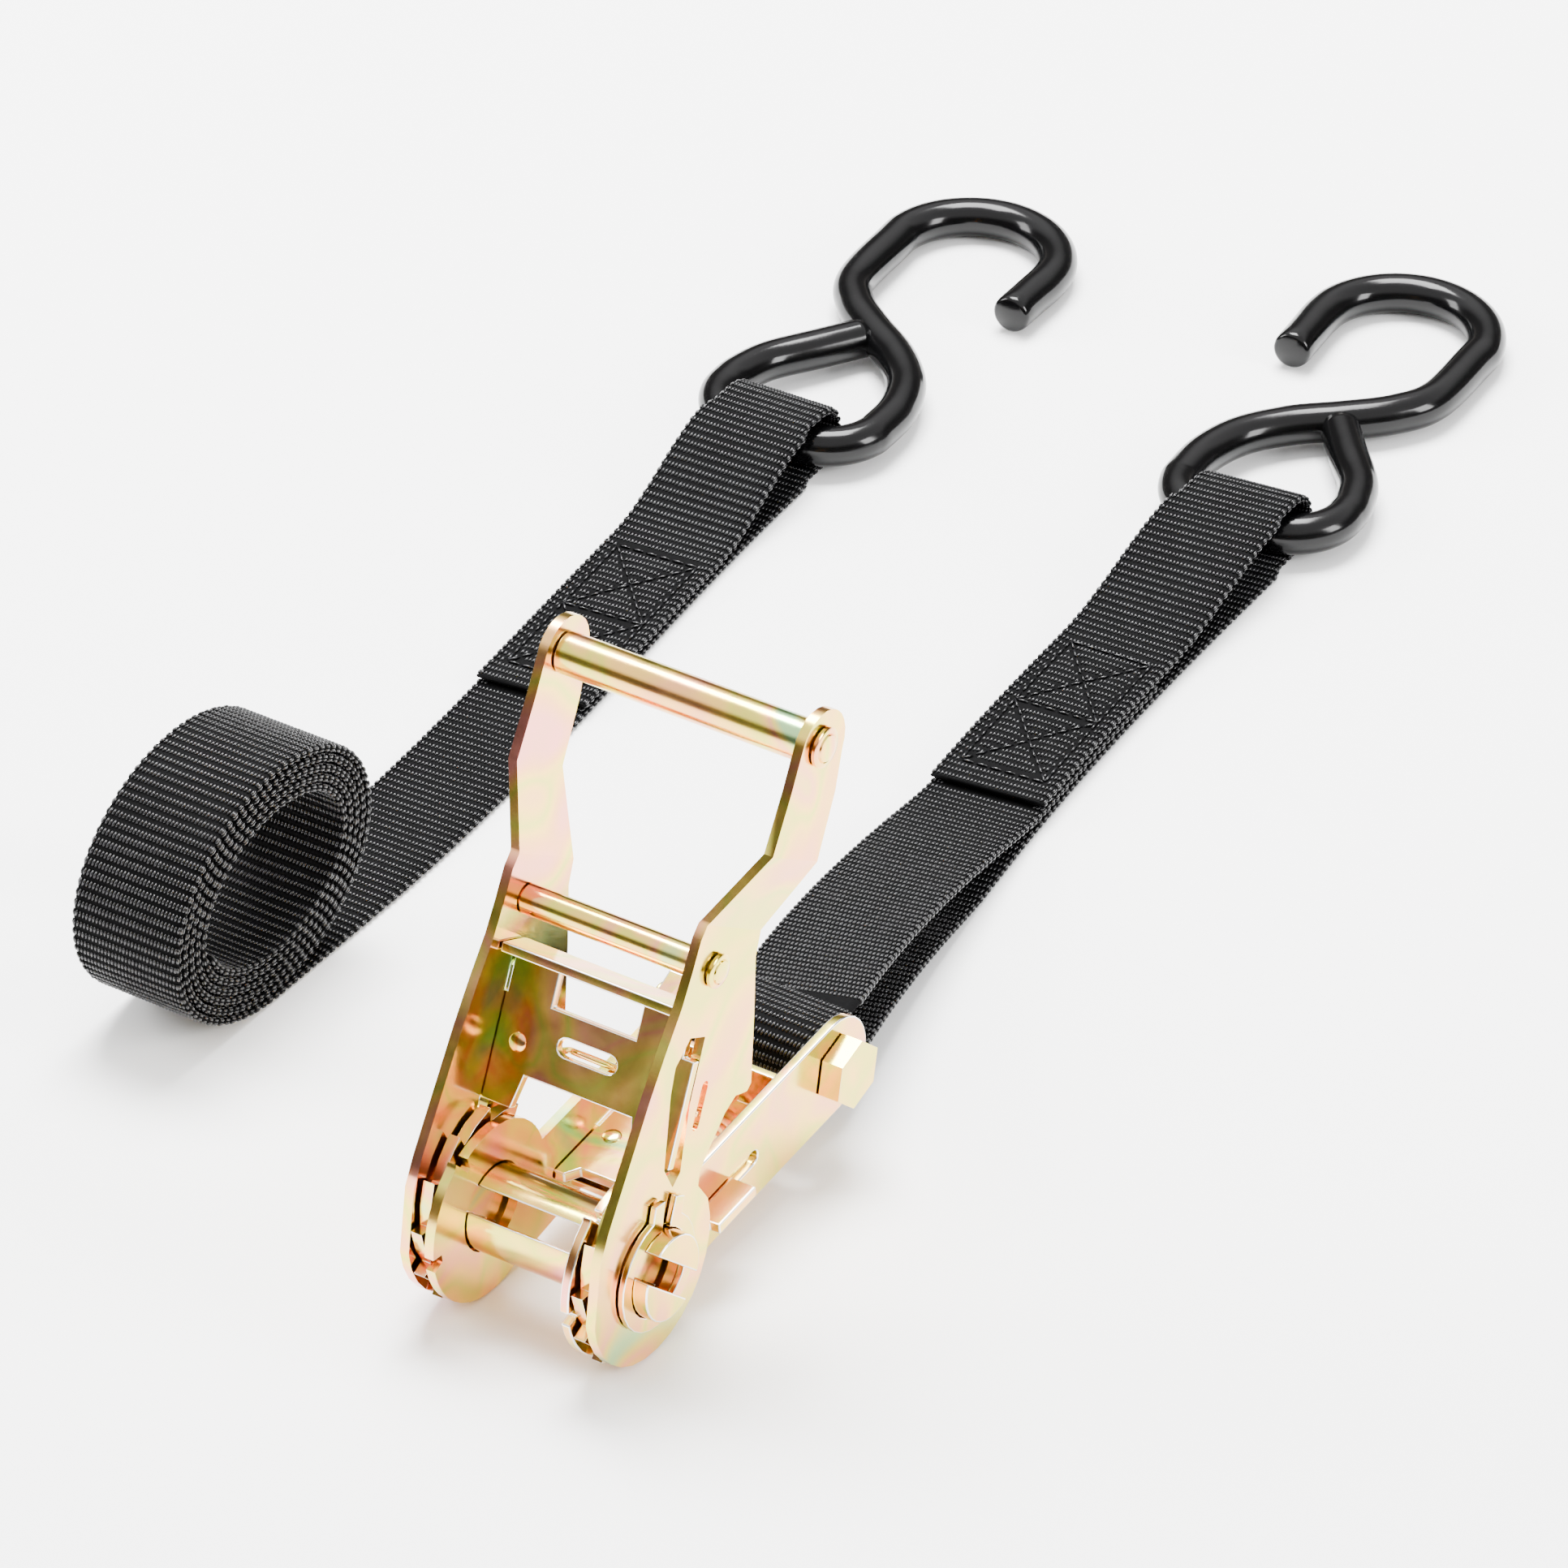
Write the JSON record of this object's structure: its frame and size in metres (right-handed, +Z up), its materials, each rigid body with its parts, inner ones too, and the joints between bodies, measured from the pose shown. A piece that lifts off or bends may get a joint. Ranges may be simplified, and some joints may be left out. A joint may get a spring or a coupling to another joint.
{
  "type": "ratchet strap",
  "caption": "Ratchet tie-down strap: zinc-plated ratchet buckle, short fixed webbing strap, rolled long strap and two vinyl-coated S-hooks.",
  "frame": {"origin": "centre of the bounding box's base, on the ground", "axes": "+Z up; +X along the spindle to the buckle's right; +Y from the spindle towards the hooks"},
  "size_m": [0.19, 0.4211, 0.1223],
  "materials": {
    "yellow_zinc": "yellow passivated zinc plating, glossy, iridescent",
    "spring_steel": "plain spring wire",
    "webbing": "black polyester webbing with cross ribs",
    "vinyl": "steel wire dipped in glossy black vinyl"
  },
  "bodies": {
    "frame": {"frame_plate_left": "yellow_zinc", "frame_plate_right": "yellow_zinc", "spring_bracket": "yellow_zinc", "anchor_bolt": "yellow_zinc", "anchor_nut": "yellow_zinc", "anchor_spacer": "yellow_zinc", "short_strap": "webbing", "pawl_spring": "spring_steel"},
    "frame_pawl": {"frame_pawl": "yellow_zinc"},
    "spindle": {"spindle_bar_upper": "yellow_zinc", "spindle_bar_lower": "yellow_zinc", "ratchet_wheel_left": "yellow_zinc", "ratchet_wheel_right": "yellow_zinc", "retaining_ring_left": "yellow_zinc", "retaining_ring_right": "yellow_zinc"},
    "handle": {"handle_plate_left": "yellow_zinc", "handle_plate_right": "yellow_zinc", "grip_pin": "yellow_zinc", "cross_pin": "yellow_zinc", "handle_spring": "spring_steel"},
    "grip_sleeve": {"grip_sleeve": "yellow_zinc"},
    "handle_slider": {"handle_slider": "yellow_zinc"},
    "right_hook": {"s_hook_right": "vinyl"},
    "long_strap": {"long_strap": "webbing"},
    "left_hook": {"s_hook_left": "vinyl"}
  },
  "joints": [
    {"name": "handle_hinge", "type": "hinge", "parent": "frame", "child": "handle", "pos_m": [0.0626, -0.1913, 0.0195], "axis": [1, 0, 0], "range_deg": [-38, 113]},
    {"name": "spindle_turn", "type": "hinge", "parent": "frame", "child": "spindle", "pos_m": [0.0626, -0.1913, 0.0195], "axis": [1, 0, 0], "continuous": true},
    {"name": "slider_travel", "type": "slide", "parent": "handle", "child": "handle_slider", "axis": [0, 0.4099, 0.9121], "range_m": [0, 0.004], "stiffness_N_per_m": 900, "springref_m": -0.004, "deforming": ["handle_spring"]},
    {"name": "pawl_travel", "type": "slide", "parent": "frame", "child": "frame_pawl", "axis": [0, 0.9936, 0.1132], "range_m": [0, 0.005], "stiffness_N_per_m": 900, "springref_m": -0.004, "deforming": ["pawl_spring"]},
    {"name": "grip_turn", "type": "hinge", "parent": "handle", "child": "grip_sleeve", "pos_m": [0.06375, -0.14769, 0.11557], "axis": [1, 0, 0], "continuous": true},
    {"name": "right_hook_swing", "type": "hinge", "parent": "frame", "child": "right_hook", "pos_m": [0.032, 0.1043, 0.0061], "axis": [0.9912, 0.1323, 0], "range_deg": [0, 150]},
    {"name": "long_strap_slide", "type": "slide", "parent": "frame", "child": "long_strap", "axis": [-0.0707, 0.9975, 0], "range_m": [-0.03, 0.03]},
    {"name": "left_hook_swing", "type": "hinge", "parent": "long_strap", "child": "left_hook", "pos_m": [-0.0684, 0.0797, 0.0061], "axis": [0.9989, 0.0471, 0], "range_deg": [0, 150]}
  ]
}
